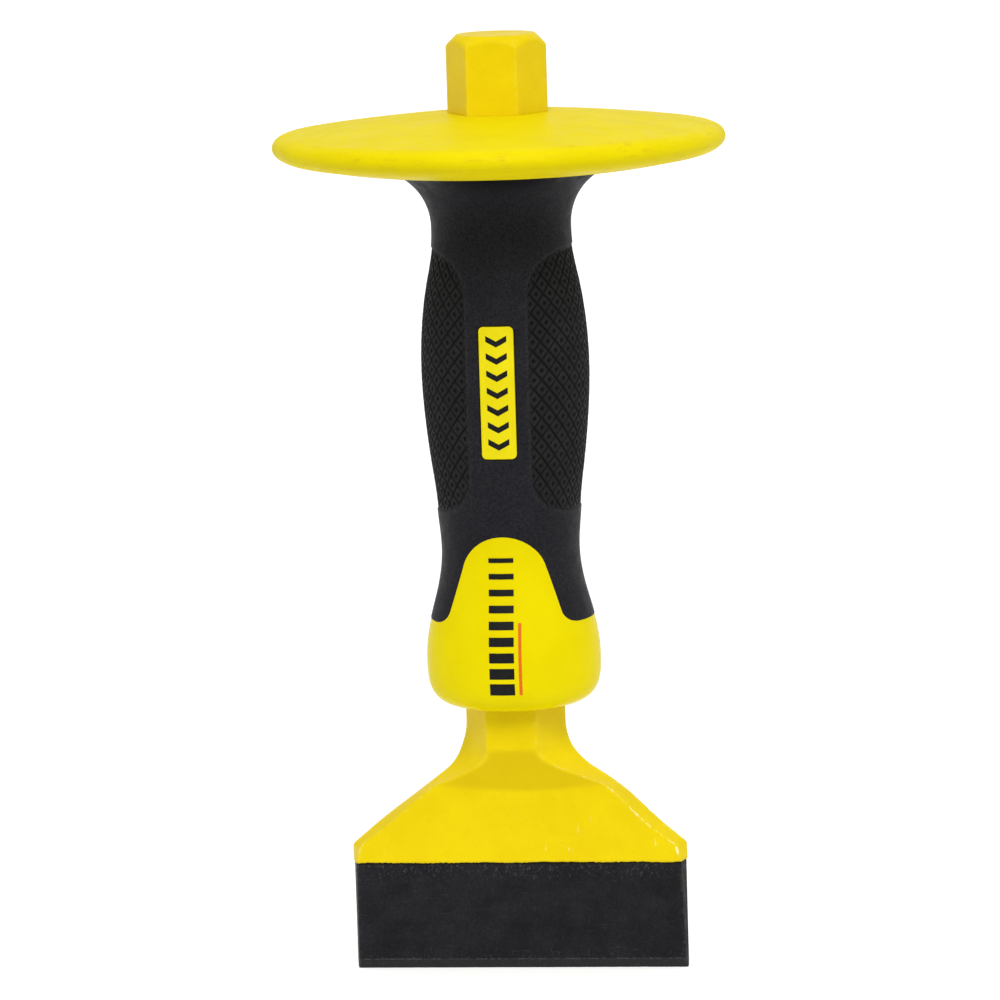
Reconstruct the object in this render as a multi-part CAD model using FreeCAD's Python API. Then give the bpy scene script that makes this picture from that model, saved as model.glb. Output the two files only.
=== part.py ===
import FreeCAD, Part
import math
import os

# Brick set (mason's bolster) with a moulded grip and a hand guard, in millimetres.
# Origin at the middle of the cutting edge. +Z runs up the axis to the struck head, X runs along the
# cutting edge, and the badge faces -Y. The pieces touch face to face and never overlap.

V = FreeCAD.Vector
REACH = 60.0  # farther out than any side of the tool
COS_30 = math.cos(math.radians(30))
TAN_30 = math.tan(math.radians(30))

# Overall
HEAD_TOP = 215.9  # cutting edge to the top of the painted head
BLADE_HALF = 38.5  # half of the cutting edge
PAINT = 0.24  # thickness of the coat
PAINT_END = 25.4  # height of the coat's lower edge on the blade

# Forging, as bare steel: heights where its shape changes, and the sizes there
FLAT_HALF = 10.0 - PAINT  # half of the hexagon's size across flats
HEAD_FLAT_R = 9.0  # the flat left on the struck face by its chamfer
FLARE_TOP = 58.2  # the neck starts to widen
FLARE_R = 14.0
FLARE_TURN = math.radians(55)  # how far that curve turns from the axis
LEAN = 1.15  # the forging sits this far to +X in the middle of the slope
LEAN_MIDDLE = 43.5
LEAN_REACH = 10.5  # above and below the middle, where it is straight again
NECK_END = 53.0  # the hexagon's front flat ends and the slope starts in
CREASE = 42.4  # the slope meets the blade's flat taper
CREASE_HALF_T = 5.3 - PAINT
CREASE_FACE_HALF = 19.3  # half width of the flat face
FACE_POWER = 1.85  # how suddenly the flat face widens out of the neck
SHOULDER = 29.4  # the shoulders reach the full width
SHOULDER_INSET = 2.1  # from the outline to the flat face
PAINT_END_INSET = 1.0
TIP_BEVEL = 2.3  # height of the fine cutting bevel
TIP_HALF_T = 1.6
TIP_INSET = 0.6
EDGE_HALF_T = 0.35

# Guard disc: a lens with a rounded rim
GUARD_R = 51.5
GUARD_BOTTOM = 185.9
GUARD_FLAT_R = 33.0  # the flat middle of the underside
GUARD_RIM = [(39.5, 186.6), (45.0, 187.6), (49.6, 188.95), (GUARD_R, 191.15), (50.9, 193.0)]
GUARD_CREASE = (49.0, 194.1)  # where the rounded rim meets the domed top
GUARD_CREASE_SLOPE = 0.4
GUARD_TOP = 198.7
DOME_MID_SHARE = 0.65  # of the dome's rise, halfway out to the crease

# Grip: outer surface
GRIP_BOTTOM = 62.4
GRIP_BOTTOM_R = 12.6  # the flat bottom round the neck
BULB_CORNER = (18.05, 64.7)  # a point on the rounded bottom corner, as (radius, height)
BULB_MAX = (19.95, 73.2)
BULB_SIDE = [(19.1, 81.2), (16.9, 89.7), (15.8, 98.7)]  # from the bulb up to the waist
BARREL_BOTTOM = 105.5
BARREL_BOTTOM_R = 16.3
BARREL_TOP = 171.5
COLLAR_R = 15.95
BARREL = [  # (height, half width, half depth)
    (BARREL_BOTTOM, BARREL_BOTTOM_R, BARREL_BOTTOM_R),
    (111.6, 16.85, 16.25),
    (117.6, 17.65, 16.3),
    (127.6, 18.8, 16.35),
    (139.6, 19.45, 16.4),
    (150.6, 18.95, 16.3),
    (159.5, 17.65, 16.15),
    (165.5, 16.45, 16.0),
    (BARREL_TOP, COLLAR_R, COLLAR_R),
]
FLARE_FILLET_R = 13.5
FLARE_FILLET_FOOT = 172.4
GRIP_FLARE_R = 27.0
CORE_R = 13.2  # the core's sleeve, under the overmould

# Side panels
PANEL_BOTTOM = 107.9
PANEL_TOP = 167.9
PANEL_FRONT = 7.3  # from the middle of the front strip to the panel's edge
PANEL_LOWER_R = 8.0
PANEL_UPPER_R = 10.0
PANEL_DEPTH = 1.8
PANEL_GAP = 0.3

# The line where the overmould ends on the bulb: right half, seen from the front
ARCH_TOP = (0.0, 102.9)
ARCH_SIDE = (9.5, 95.5)
ARCH_FOOT = (12.77, 85.43)
ARCH_BEND = (14.31, 83.31)
ARCH_TOE = (16.8, 82.5)

# Badge and prints
BADGE_HALF_W = 4.1
BADGE_BOTTOM = 120.7
BADGE_TOP = 151.1
BADGE_CORNER_R = 1.2
BADGE_DEPTH = 0.8
BADGE_MARGIN = 1.5
PRINT = 0.15  # thickness of the printed marks
CHEVRONS = 7
CHEVRON_HALF_W = 2.4
CHEVRON_RISE = 1.3
CHEVRON_BAR = 1.35
BARS = 9
BARS_X = (-3.3, 2.4)
BARS_Z = (67.2, 100.8)
BAR_SHARE = 0.72  # of the pitch, for the lowest bar
BAR_SHRINK = 0.055  # less of the pitch for each bar above
STRIPE_X = (3.4, 4.1)
STRIPE_Z = (67.2, 83.6)


def export(node, shape):
    shape.exportStep(f"parts/{node}.step")


def fused(shapes):
    """One solid from touching shapes, with the split faces joined again."""
    return shapes[0].multiFuse(shapes[1:]).removeSplitter()


def mirrored(shape):
    return shape.mirror(V(0, 0, 0), V(1, 0, 0))


def line(p, q):
    """Straight edge in the XZ plane between two (x, z) points."""
    return Part.LineSegment(V(p[0], 0, p[1]), V(q[0], 0, q[1])).toShape()


def arc(p, mid, q):
    return Part.Arc(V(p[0], 0, p[1]), V(mid[0], 0, mid[1]), V(q[0], 0, q[1])).toShape()


def arc_points(centre, r, start, end):
    """Start, middle and end of an arc about a centre, by its angles in degrees."""
    angles = [math.radians(a) for a in (start, (start + end) / 2, end)]
    return [(centre[0] + r * math.cos(a), centre[1] + r * math.sin(a)) for a in angles]


def revolved(edges):
    """A closed outline in the XZ plane, turned about the axis."""
    return Part.Face(Part.Wire(edges)).revolve(V(0, 0, 0), V(0, 0, 1), 360)


def through(edges):
    """A closed XZ outline carried through the grip from front to back."""
    face = Part.Face(Part.Wire(edges))
    face.translate(V(0, -REACH, 0))
    return face.extrude(V(0, 2 * REACH, 0))


def front_block(outline):
    """A closed polygon of (x, z) points carried through the front half of the grip only."""
    points = [V(x, -REACH, z) for x, z in outline]
    return Part.Face(Part.makePolygon(points + points[:1])).extrude(V(0, REACH, 0))


def between(z, z0, v0, z1, v1):
    return v0 + (v1 - v0) * (z - z0) / (z1 - z0)


def flare_half(z):
    """Half width of the steel outline between the neck and the shoulders."""
    neck = FLAT_HALF / COS_30
    drop = FLARE_TOP - z
    turned = FLARE_R * math.sin(FLARE_TURN)
    if drop < turned:
        return neck + FLARE_R - math.sqrt(FLARE_R**2 - drop**2)
    start = neck + FLARE_R * (1 - math.cos(FLARE_TURN))
    rise = BLADE_HALF - start
    full = FLARE_TOP - turned - SHOULDER
    ease = math.tan(FLARE_TURN) * full / rise - 1  # leaves the curve without a kink
    share = (drop - turned) / full
    return start + rise * share * (1 + ease * (1 - share) ** 2)


def lean(z):
    """How far the forging is shifted to +X at a height."""
    away = min(1.0, abs(z - LEAN_MIDDLE) / LEAN_REACH)
    return LEAN * math.cos(math.pi / 2 * away) ** 2


def section(z, grow):
    """(half width, half width of the flat face, half thickness) of the forging at a height."""
    width = flare_half(min(z, FLARE_TOP)) if z > SHOULDER else BLADE_HALF
    neck_face = FLAT_HALF * TAN_30
    thick = between(z, CREASE, CREASE_HALF_T, TIP_BEVEL, TIP_HALF_T)
    if z >= NECK_END:
        face = neck_face
        thick = FLAT_HALF
    elif z >= CREASE:
        share = (NECK_END - z) / (NECK_END - CREASE)
        face = neck_face + (CREASE_FACE_HALF - neck_face) * share**FACE_POWER
        thick = between(z, NECK_END, FLAT_HALF, CREASE, CREASE_HALF_T)
    elif z >= SHOULDER:
        crease_inset = flare_half(CREASE) - CREASE_FACE_HALF
        face = width - between(z, CREASE, crease_inset, SHOULDER, SHOULDER_INSET)
    elif z >= PAINT_END:
        face = width - between(z, SHOULDER, SHOULDER_INSET, PAINT_END, PAINT_END_INSET)
    elif z >= TIP_BEVEL:
        face = width - between(z, PAINT_END, PAINT_END_INSET, TIP_BEVEL, TIP_INSET)
    else:
        face = width - TIP_INSET
        thick = between(z, TIP_BEVEL, TIP_HALF_T, 0.0, EDGE_HALF_T)
    return width + grow / COS_30, face + grow * TAN_30, thick + grow


def section_wire(z, grow):
    w, c, h = section(z, grow)
    corners = [(w, 0), (c, h), (-c, h), (-w, 0), (-c, -h), (c, -h)]
    points = [V(x + lean(z), y, z) for x, y in corners]
    return Part.makePolygon(points + points[:1])


def stretch(z_top, z_bottom, steps, grow):
    """One length of the forging between two creases, smooth if it has more than one step."""
    heights = [between(i, 0, z_top, steps, z_bottom) for i in range(steps + 1)]
    return Part.makeLoft([section_wire(z, grow) for z in heights], True, steps == 1)


def forging(grow, top):
    """The forging with every face moved out by grow, which also makes the coat's outside."""
    body = fused(
        [
            stretch(top, FLARE_TOP, 1, grow),
            stretch(FLARE_TOP, NECK_END, 4, grow),
            stretch(NECK_END, CREASE, 8, grow),
            stretch(CREASE, SHOULDER, 6, grow),
            stretch(SHOULDER, PAINT_END, 1, grow),
            stretch(PAINT_END, TIP_BEVEL, 1, grow),
            stretch(TIP_BEVEL, 0.0, 1, grow),
        ]
    )
    flat_r = HEAD_FLAT_R + grow * math.tan(math.radians(22.5))
    chamfer = Part.makeCone(flat_r + top, flat_r, top)
    return body.common(chamfer)


def make_paint_coat(steel):
    outside = forging(PAINT, HEAD_TOP)
    bare = Part.makeBox(2 * REACH, 2 * REACH, PAINT_END, V(-REACH, -REACH, 0))
    return outside.cut(steel).cut(bare)


def hex_bar(z_bottom, z_top):
    """The painted shank, as the tool that bores the pieces threaded on it."""
    r = (FLAT_HALF + PAINT) / COS_30
    angles = [math.radians(60 * i) for i in range(7)]
    points = [V(r * math.cos(a), r * math.sin(a), z_bottom) for a in angles]
    return Part.Face(Part.makePolygon(points)).extrude(V(0, 0, z_top - z_bottom))


def smooth_curve(points, start, end):
    """The curve through (radius, height) points that sets out and arrives in these directions."""
    curve = Part.BSplineCurve()
    curve.interpolate(
        Points=[V(r, 0, z) for r, z in points],
        InitialTangent=V(start[0], 0, start[1]),
        FinalTangent=V(end[0], 0, end[1]),
    )
    return curve.toShape()


def guard_rim():
    """The curve from the flat underside, round the widest point, to the crease."""
    points = [(GUARD_FLAT_R, GUARD_BOTTOM)] + GUARD_RIM + [GUARD_CREASE]
    return smooth_curve(points, (1, 0), (-1, GUARD_CREASE_SLOPE))


def make_guard_disc():
    """A domed disc. Its flat underside is two faces: under the grip's flare, and the free ring."""
    crease_r, crease_z = GUARD_CREASE
    dome_mid = (crease_r / 2, crease_z + DOME_MID_SHARE * (GUARD_TOP - crease_z))
    disc = revolved(
        [
            line((0, GUARD_BOTTOM), (GRIP_FLARE_R, GUARD_BOTTOM)),
            line((GRIP_FLARE_R, GUARD_BOTTOM), (GUARD_FLAT_R, GUARD_BOTTOM)),
            guard_rim(),
            arc(GUARD_CREASE, dome_mid, (0, GUARD_TOP)),
            line((0, GUARD_TOP), (0, GUARD_BOTTOM)),
        ]
    )
    return disc.cut(hex_bar(GUARD_BOTTOM - 1, GUARD_TOP + 1))


def bulb_surface(grow):
    """The lower end of the grip: waist, bulb and rounded bottom."""
    side = [BULB_MAX] + BULB_SIDE + [(BARREL_BOTTOM_R, BARREL_BOTTOM)]
    side = [(r + grow, z) for r, z in side]
    bottom = GRIP_BOTTOM - grow
    corner = (BULB_CORNER[0] + grow * COS_30, BULB_CORNER[1] - grow / 2)
    return revolved(
        [
            line((0, bottom), (GRIP_BOTTOM_R, bottom)),
            smooth_curve([(GRIP_BOTTOM_R, bottom), corner, side[0]], (1, 0), (0, 1)),
            smooth_curve(side, (0, 1), (0, 1)),
            line((BARREL_BOTTOM_R + grow, BARREL_BOTTOM), (0, BARREL_BOTTOM)),
            line((0, BARREL_BOTTOM), (0, bottom)),
        ]
    )


def barrel_surface(grow):
    """The middle of the grip, oval in section where the palm bears on it."""
    wires = []
    for z, half_w, half_d in BARREL:
        oval = Part.Ellipse(V(0, 0, z), half_w + grow, half_d + grow)
        wires.append(Part.Wire(oval.toShape()))
    return Part.makeLoft(wires, True, False)


def flare_surface():
    """The collar and the trumpet-shaped flare under the guard."""
    centre = (COLLAR_R + FLARE_FILLET_R, FLARE_FILLET_FOOT)
    turn = math.degrees(math.acos((centre[0] - GRIP_FLARE_R) / FLARE_FILLET_R))
    foot, mid, lip = arc_points(centre, FLARE_FILLET_R, 180, 180 - turn)
    return revolved(
        [
            line((0, BARREL_TOP), (COLLAR_R, BARREL_TOP)),
            line((COLLAR_R, BARREL_TOP), foot),
            arc(foot, mid, lip),
            line(lip, (GRIP_FLARE_R, GUARD_BOTTOM)),
            line((GRIP_FLARE_R, GUARD_BOTTOM), (0, GUARD_BOTTOM)),
            line((0, GUARD_BOTTOM), (0, BARREL_TOP)),
        ]
    )


def panel_window(inset):
    """The outline of the right panel as seen from the front, carried through."""
    front = PANEL_FRONT + inset
    low = PANEL_BOTTOM + inset
    high = PANEL_TOP - inset
    low_r = PANEL_LOWER_R - inset
    high_r = PANEL_UPPER_R - inset
    lower = arc_points((front + low_r, low + low_r), low_r, 180, 270)
    upper = arc_points((front + high_r, high - high_r), high_r, 90, 180)
    return through(
        [
            arc(*lower),
            line(lower[2], (REACH, low)),
            line((REACH, low), (REACH, high)),
            line((REACH, high), upper[0]),
            arc(*upper),
            line(upper[2], lower[0]),
        ]
    )


def below_arch():
    """Everything below the line where the overmould ends."""
    floor = GRIP_BOTTOM - 1
    out = (REACH, ARCH_TOE[1])
    right = [
        line(ARCH_SIDE, ARCH_FOOT),
        arc(ARCH_FOOT, ARCH_BEND, ARCH_TOE),
        line(ARCH_TOE, out),
        line(out, (REACH, floor)),
    ]
    left = [mirrored(edge) for edge in reversed(right)]
    top = arc((-ARCH_SIDE[0], ARCH_SIDE[1]), ARCH_TOP, ARCH_SIDE)
    return through([top] + right + [line((REACH, floor), (-REACH, floor))] + left)


def badge_block():
    size = (2 * BADGE_HALF_W, REACH, BADGE_TOP - BADGE_BOTTOM)
    box = Part.makeBox(*size, V(-BADGE_HALF_W, -REACH, BADGE_BOTTOM))
    along_y = [e for e in box.Edges if e.BoundBox.YLength > REACH / 2]
    return box.makeFillet(BADGE_CORNER_R, along_y)


def make_badge_print(skin):
    """Plain chevrons that point to the blade."""
    pitch = (BADGE_TOP - BADGE_BOTTOM - 2 * BADGE_MARGIN) / CHEVRONS
    marks = []
    for i in range(CHEVRONS):
        middle = BADGE_BOTTOM + BADGE_MARGIN + (i + 0.5) * pitch
        tip = middle - (CHEVRON_RISE + CHEVRON_BAR) / 2
        outline = [
            (0, tip),
            (CHEVRON_HALF_W, tip + CHEVRON_RISE),
            (CHEVRON_HALF_W, tip + CHEVRON_RISE + CHEVRON_BAR),
            (0, tip + CHEVRON_BAR),
            (-CHEVRON_HALF_W, tip + CHEVRON_RISE + CHEVRON_BAR),
            (-CHEVRON_HALF_W, tip + CHEVRON_RISE),
        ]
        marks.append(skin.common(front_block(outline)))
    return Part.makeCompound(marks)


def printed_rectangle(skin, x, z):
    corners = [(x[0], z[0]), (x[1], z[0]), (x[1], z[1]), (x[0], z[1])]
    return skin.common(front_block(corners))


def make_bulb_bars(skin):
    """Plain bars up the front of the bulb, thinner towards the top."""
    pitch = (BARS_Z[1] - BARS_Z[0]) / BARS
    marks = []
    for i in range(BARS):
        low = BARS_Z[0] + i * pitch
        high = low + pitch * (BAR_SHARE - BAR_SHRINK * i)
        marks.append(printed_rectangle(skin, BARS_X, (low, high)))
    return Part.makeCompound(marks)


def make_tool():
    steel = forging(0.0, HEAD_TOP - PAINT)
    export("chisel_forging", steel)
    export("paint_coat", make_paint_coat(steel))
    export("guard_disc", make_guard_disc())


def make_grip():
    bulb = bulb_surface(0.0)
    barrel = barrel_surface(0.0)
    yellow = below_arch()
    toe = ARCH_TOE[1]
    sleeve = Part.makeCylinder(CORE_R, GUARD_BOTTOM - toe, V(0, 0, toe))
    core = fused([bulb.common(yellow), sleeve])
    export("grip_core", core.cut(hex_bar(GRIP_BOTTOM - 1, GUARD_BOTTOM + 1)))

    ring = barrel.cut(barrel_surface(-PANEL_DEPTH))
    window = ring.common(panel_window(0.0))
    badge = barrel.cut(barrel_surface(-BADGE_DEPTH)).common(badge_block())
    middle = barrel.cut(window).cut(mirrored(window)).cut(badge)
    skin = fused([bulb.cut(yellow), middle, flare_surface()])
    export("grip_overmould", skin.cut(sleeve))

    panel = ring.common(panel_window(PANEL_GAP))
    export("grip_panel_right", panel)
    export("grip_panel_left", mirrored(panel))
    export("badge_plate", badge)

    export("badge_print", make_badge_print(barrel_surface(PRINT).cut(barrel)))
    bulb_skin = bulb_surface(PRINT).cut(bulb)
    export("bulb_print_bars", make_bulb_bars(bulb_skin))
    export("bulb_print_stripe", printed_rectangle(bulb_skin, STRIPE_X, STRIPE_Z))


os.makedirs("parts", exist_ok=True)
make_tool()
make_grip()
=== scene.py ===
import math

import bpy
import numpy as np
from mathutils import Matrix, Vector, noise


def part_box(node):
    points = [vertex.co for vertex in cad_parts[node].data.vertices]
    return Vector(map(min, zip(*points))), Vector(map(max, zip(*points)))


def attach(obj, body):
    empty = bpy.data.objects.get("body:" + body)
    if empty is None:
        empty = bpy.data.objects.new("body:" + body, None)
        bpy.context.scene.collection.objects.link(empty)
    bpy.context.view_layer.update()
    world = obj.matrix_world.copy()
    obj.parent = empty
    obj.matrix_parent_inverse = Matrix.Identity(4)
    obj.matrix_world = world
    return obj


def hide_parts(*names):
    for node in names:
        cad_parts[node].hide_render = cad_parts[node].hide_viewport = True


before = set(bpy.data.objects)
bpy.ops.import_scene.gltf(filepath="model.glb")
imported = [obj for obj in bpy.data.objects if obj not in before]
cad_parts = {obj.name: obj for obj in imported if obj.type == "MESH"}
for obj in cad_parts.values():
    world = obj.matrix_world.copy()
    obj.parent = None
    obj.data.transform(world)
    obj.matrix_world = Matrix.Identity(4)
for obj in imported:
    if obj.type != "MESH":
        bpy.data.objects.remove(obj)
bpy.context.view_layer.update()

# Brick set with a moulded grip and a hand guard. Shapes are worked out in millimetres, with +Z up the
# axis, X along the cutting edge and the badge facing -Y, and every mesh is turned into metres when made.
MM = 0.001
COS_30 = math.cos(math.radians(30))
TAN_30 = math.tan(math.radians(30))


def corners_mm(node):
    """The low and the high corner of a CAD node's box."""
    low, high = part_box(node)
    return np.array(low) / MM, np.array(high) / MM


COAT_LOW, COAT_HIGH = corners_mm("paint_coat")
STEEL_HIGH = corners_mm("chisel_forging")[1]
GUARD_LOW, GUARD_HIGH = corners_mm("guard_disc")
GRIP_LOW = corners_mm("grip_core")[0]
SKIN_HIGH = corners_mm("grip_overmould")[1]
BADGE_LOW, BADGE_HIGH = corners_mm("badge_plate")
BARS_LOW = corners_mm("bulb_print_bars")[0]

# Forging, as bare steel. The coat is the same shape with every face moved out by PAINT.
HEAD_TOP = COAT_HIGH[2]
PAINT = COAT_HIGH[2] - STEEL_HIGH[2]
PAINT_END = COAT_LOW[2]
BLADE_HALF = STEEL_HIGH[0]
HEX_ACROSS = 20.0  # across flats, over the coat
FLAT_HALF = HEX_ACROSS / 2 - PAINT
HEAD_FLAT_R = 9.0  # the flat left on the struck face by its chamfer
FLARE_TOP = 58.2  # the neck starts to widen
FLARE_R = 14.0
FLARE_TURN = math.radians(55)
LEAN = 1.15  # the forging sits this far to +X in the middle of the slope
LEAN_MIDDLE = 43.5
LEAN_REACH = 10.5
BOW = 1.5  # the crease across the slope's foot rises this much towards its ends
BOW_REACH = 9.0
NECK_END = 53.0
CREASE = 42.4
CREASE_HALF_T = 5.3 - PAINT
CREASE_FACE_HALF = 19.3
FACE_POWER = 1.85
SHOULDER = 29.4
SHOULDER_INSET = 2.1
PAINT_END_INSET = 1.0
TIP_BEVEL = 2.3
TIP_HALF_T = 1.6
TIP_INSET = 0.6
EDGE_HALF_T = 0.35
CREASE_SOFT = 0.4  # creases are rounded over this height, up and down
TIP_ROUNDING = 0.4  # share of the corners' radius that is left at the cutting edge
TIP_ROUNDING_REACH = 3.0
HEAD_SOFT = 0.1  # blends the chamfer of the head into its sides

# Guard disc, as (radius, height)
GUARD_BOTTOM = GUARD_LOW[2]
GUARD_R = GUARD_HIGH[0] - 0.04
GUARD_FLAT_R = 33.0
GUARD_RIM = [(39.5, 186.6), (45.0, 187.6), (49.6, 188.95), (GUARD_R, 191.15), (50.9, 193.0)]
GUARD_CREASE = (49.0, 194.1)
GUARD_CREASE_WAY = (-0.93, 0.37)  # the rim's direction where it reaches the crease
GUARD_TOP = 198.7
DOME_MID_SHARE = 0.65

# Grip: outer surface
GRIP_BOTTOM = GRIP_LOW[2]
GRIP_BOTTOM_R = 12.6
BULB_CORNER = (18.05, 64.7)
BULB_MAX = (19.95, 73.2)
GRIP_SIDE = [  # (height, half width, half depth) from the bulb's widest place to the collar
    (BULB_MAX[1], BULB_MAX[0], BULB_MAX[0]),
    (81.2, 19.1, 19.1),
    (89.7, 16.9, 16.9),
    (98.7, 15.8, 15.8),
    (105.5, 16.3, 16.3),
    (111.6, 16.85, 16.25),
    (117.6, 17.65, 16.3),
    (127.6, 18.8, 16.35),
    (139.6, 19.45, 16.4),
    (150.6, 18.95, 16.3),
    (159.5, 17.65, 16.15),
    (165.5, 16.45, 16.0),
    (171.5, 15.95, 15.95),
]
COLLAR_R = 15.95
FLARE_FILLET_R = 13.5
FLARE_FILLET_FOOT = 172.4
GRIP_FLARE_R = 27.0
SLEEVE_R = 13.2

# Edges of the moulded pieces, as seen from the front
FAR = 80.0  # further out than the tool reaches
PANEL_BOTTOM = 107.9
PANEL_TOP = 167.9
PANEL_FRONT = 7.3
PANEL_LOWER_R = 8.0
PANEL_UPPER_R = 10.0
ARCH_TOP = (0.0, 102.9)
ARCH_SIDE = (9.5, 95.5)
ARCH_FOOT = (12.77, 85.43)
ARCH_BEND = (14.31, 83.31)
ARCH_TOE = (16.8, 82.5)
BADGE_CORNER_R = 1.2
BADGE_MARGIN = 1.5
CHEVRONS = 7
CHEVRON_HALF_W = 2.4
CHEVRON_RISE = 1.3
CHEVRON_BAR = 1.35
BARS = 9
BAR_SHARE = 0.72
BAR_SHRINK = 0.055
BARS_X = (-3.3, 2.4)
BARS_TOP = 100.8
STRIPE_X = (3.4, 4.1)
STRIPE_Z = (67.2, 83.6)


# ---------------------------------------------------------------- small maths


def between(z, z0, v0, z1, v1):
    """The value at z on the straight line from v0 at z0 to v1 at z1."""
    return v0 + (v1 - v0) * (z - z0) / (z1 - z0)


def smoothstep(low, high, value):
    """0 below low, 1 above high and a soft S between them."""
    t = np.clip((value - low) / (high - low), 0, 1)
    return t * t * (3 - 2 * t)


def clamped_spline(knots, start_slope=0.0, end_slope=0.0):
    """The smooth curve through (place, value) knots, as a function of an array of places."""
    x, y = np.array(knots, float).T
    n = len(x)
    h = np.diff(x)
    matrix = np.zeros((n, n))
    right = np.zeros(n)
    matrix[0, 0] = matrix[-1, -1] = 1
    right[0] = start_slope
    right[-1] = end_slope
    for i in range(1, n - 1):
        matrix[i, i - 1] = 1 / h[i - 1]
        matrix[i, i] = 2 / h[i - 1] + 2 / h[i]
        matrix[i, i + 1] = 1 / h[i]
        right[i] = 3 * ((y[i] - y[i - 1]) / h[i - 1] ** 2 + (y[i + 1] - y[i]) / h[i] ** 2)
    slopes = np.linalg.solve(matrix, right)

    def value(place):
        place = np.clip(place, x[0], x[-1])
        i = np.clip(np.searchsorted(x, place) - 1, 0, n - 2)
        t = (place - x[i]) / h[i]
        rise = (y[i + 1] - y[i]) / h[i]
        bend = (slopes[i + 1] + slopes[i] - 2 * rise) * t + 3 * rise - 2 * slopes[i] - slopes[i + 1]
        return y[i] + h[i] * t * (slopes[i] + t * bend)

    return value


def curve_through(points, count, start, end):
    """Even points along the smooth plane curve through some points, with end directions."""
    points = np.array(points, float)
    runs = np.hypot(*np.diff(points, axis=0).T)
    along = np.concatenate([[0], np.cumsum(runs)])
    where = np.linspace(0, along[-1], count)
    columns = []
    for k in range(2):
        knots = np.column_stack([along, points[:, k]])
        columns.append(clamped_spline(knots, start[k], end[k])(where))
    return np.column_stack(columns)


def circle_through(p, q, r):
    """Centre and radius of the circle through three plane points."""
    (ax, ay), (bx, by), (cx, cy) = p, q, r
    d = 2 * (ax * (by - cy) + bx * (cy - ay) + cx * (ay - by))
    a, b, c = ax * ax + ay * ay, bx * bx + by * by, cx * cx + cy * cy
    x = (a * (by - cy) + b * (cy - ay) + c * (ay - by)) / d
    y = (a * (cx - bx) + b * (ax - cx) + c * (bx - ax)) / d
    return (x, y), math.hypot(ax - x, ay - y)


def arc_through(p, q, r, count):
    """Points along the arc from p through q to r."""
    centre, radius = circle_through(p, q, r)
    angles = [math.atan2(y - centre[1], x - centre[0]) for x, y in (p, q, r)]
    angles = np.unwrap(angles)
    sweep = np.linspace(angles[0], angles[2], count)
    return np.column_stack([centre[0] + radius * np.cos(sweep), centre[1] + radius * np.sin(sweep)])


def hash_noise(x, y, z=0.0, detail=3):
    """Smooth noise of about -1 to 1, the same on every run."""
    return noise.fractal(Vector((x, y, z)), 0.6, 2.0, detail)


# ---------------------------------------------------------------- meshes


def in_scene(name, data):
    """A new object in the scene, made of its data."""
    made = bpy.data.objects.new(name, data)
    bpy.context.scene.collection.objects.link(made)
    return made


def new_mesh(name, points, faces, material):
    """A mesh object from millimetre points."""
    mesh = bpy.data.meshes.new(name)
    mesh.from_pydata((np.asarray(points, float) * MM).tolist(), [], [list(map(int, f)) for f in faces])
    mesh.validate()
    mesh.materials.append(material)
    return in_scene(name, mesh)


def new_piece(name, points, faces, material, slot, node, smooth=True):
    """A mesh which rides on the tool and stands for a CAD node."""
    piece = new_mesh(name, points, faces, material)
    if smooth:
        piece.data.shade_smooth()
    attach(piece, "root")
    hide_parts(node)
    return piece


def set_attribute(piece, name, values):
    layer = piece.data.attributes.new(name, "FLOAT", "POINT")
    layer.data.foreach_set("value", np.asarray(values, np.float32))


def ring_faces(rows, columns, closed_rows=False):
    """Quads of a grid whose columns run round a loop; its rows may run round one too."""
    faces = []
    for i in range(rows if closed_rows else rows - 1):
        a, b = i * columns, ((i + 1) % rows) * columns
        for j in range(columns):
            k = (j + 1) % columns
            faces.append((a + j, a + k, b + k, b + j))
    return faces


def capped_faces(rows, columns):
    """Quads of a tube of rings, with a flat face over each end."""
    faces = ring_faces(rows, columns)
    faces.append(tuple(range(columns))[::-1])
    faces.append(tuple((rows - 1) * columns + j for j in range(columns)))
    return faces


# ---------------------------------------------------------------- forging and its coat


def flare_half(z):
    """Half width of the steel outline between the neck and the shoulders."""
    neck = FLAT_HALF / COS_30
    drop = FLARE_TOP - z
    turned = FLARE_R * math.sin(FLARE_TURN)
    if drop <= 0:
        return neck
    if drop < turned:
        return neck + FLARE_R - math.sqrt(FLARE_R**2 - drop**2)
    start = neck + FLARE_R * (1 - math.cos(FLARE_TURN))
    rise = BLADE_HALF - start
    full = FLARE_TOP - turned - SHOULDER
    ease = math.tan(FLARE_TURN) * full / rise - 1
    share = (drop - turned) / full
    return start + rise * share * (1 + ease * (1 - share) ** 2)


def lean(z):
    """How far the forging is shifted to +X at a height."""
    away = min(1.0, abs(z - LEAN_MIDDLE) / LEAN_REACH)
    return LEAN * math.cos(math.pi / 2 * away) ** 2


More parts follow.
